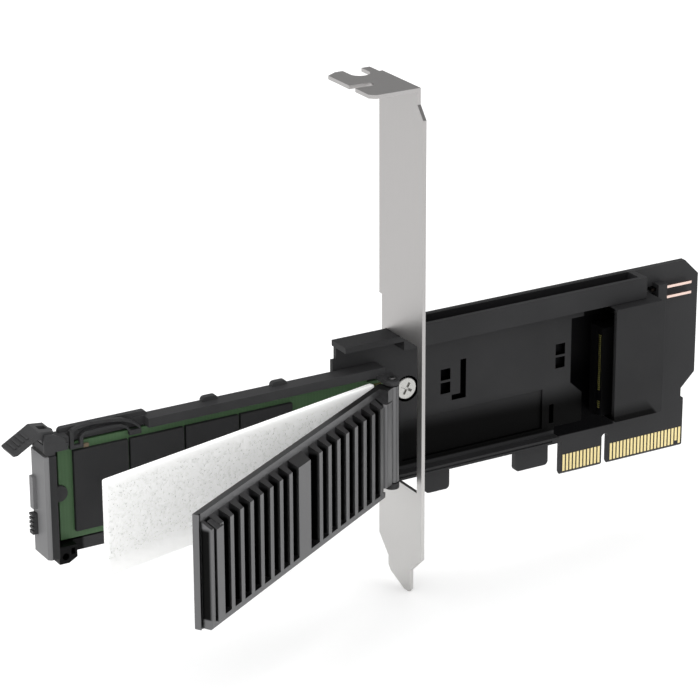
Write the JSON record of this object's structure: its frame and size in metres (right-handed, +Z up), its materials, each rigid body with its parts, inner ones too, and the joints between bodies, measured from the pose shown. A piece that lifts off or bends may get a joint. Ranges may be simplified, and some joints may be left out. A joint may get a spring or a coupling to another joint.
{
  "type": "pcie adapter card",
  "caption": "Expansion card with a full-height bracket and a pull-out drive tray, shown open with its finned heatsink lid, thermal pad and eject lever.",
  "frame": {"origin": "centre line of the key notch of the card edge, at the edge's lower end, in the middle of the board's thickness", "axes": "+X along the card from the bracket inwards, +Y to the solder side, +Z up from the card edge to the bracket's tab"},
  "size_m": [0.1807, 0.0591, 0.12],
  "materials": {
    "bracket_steel": "satin nickel plating",
    "screw_steel": "plated",
    "board_mask": "matt solder mask",
    "contact_gold": "gold plating",
    "frame_black": "matt moulded",
    "tray_black": "matt moulded",
    "lever_black": "matt moulded",
    "bezel_grey": "satin paint",
    "socket_black": "matt moulded",
    "chip_black": "matt resin",
    "ceramic_tan": "fired ceramic",
    "board_green": "gloss solder mask",
    "lid_aluminium": "dark anodised",
    "pin_steel": "ground",
    "pad_silicone": "matt, soft"
  },
  "bodies": {
    "card": {"circuit_board": "board_mask", "edge_contacts_front": "contact_gold", "edge_contacts_back": "contact_gold", "bracket": "bracket_steel", "bay_frame": "frame_black", "socket_cover": "frame_black", "m2_socket": "socket_black", "m2_socket_contacts": "contact_gold", "bracket_screw": "screw_steel", "led_header": "socket_black", "led_header_pins": "contact_gold", "regulator": "chip_black", "power_inductor": "chip_black", "ceramic_capacitors": "ceramic_tan"},
    "tray": {"tray": "tray_black", "tray_bezel": "bezel_grey", "drive_board": "board_green", "drive_flash_chips": "chip_black", "drive_controller": "chip_black", "drive_contacts": "contact_gold", "drive_small_parts": "ceramic_tan", "retaining_stud": "tray_black", "retaining_clip": "tray_black", "hinge_pin": "pin_steel", "lever_pin": "pin_steel"},
    "lid": {"heatsink_lid": "lid_aluminium"},
    "pad": {"thermal_pad": "pad_silicone"},
    "lever": {"eject_lever": "lever_black"},
    "button": {"release_button": "lever_black"}
  },
  "joints": [
    {"name": "tray_slide", "type": "slide", "parent": "card", "child": "tray", "axis": [1, 0, 0], "range_m": [-0.012, 0.0018]},
    {"name": "lid_hinge", "type": "hinge", "parent": "tray", "child": "lid", "pos_m": [-0.0646, -0.00988, 0.0243], "axis": [0, 0, 1], "range_deg": [-31.2, 58.8]},
    {"name": "pad_hinge", "type": "hinge", "parent": "tray", "child": "pad", "pos_m": [-0.0646, -0.00988, 0.026], "axis": [0, 0, 1], "range_deg": [-13.4, 25.25]},
    {"name": "lever_hinge", "type": "hinge", "parent": "tray", "child": "lever", "pos_m": [-0.1469, -0.0038, 0.0399], "axis": [0, 1, 0], "range_deg": [-60, 12]},
    {"name": "button_press", "type": "slide", "parent": "tray", "child": "button", "axis": [1, 0, 0], "range_m": [0, 0.0006], "stiffness_N_per_m": 300}
  ],
  "couplings": [
    {"joint": "pad_hinge", "follows": "lid_hinge", "ratio": 0.4295}
  ]
}
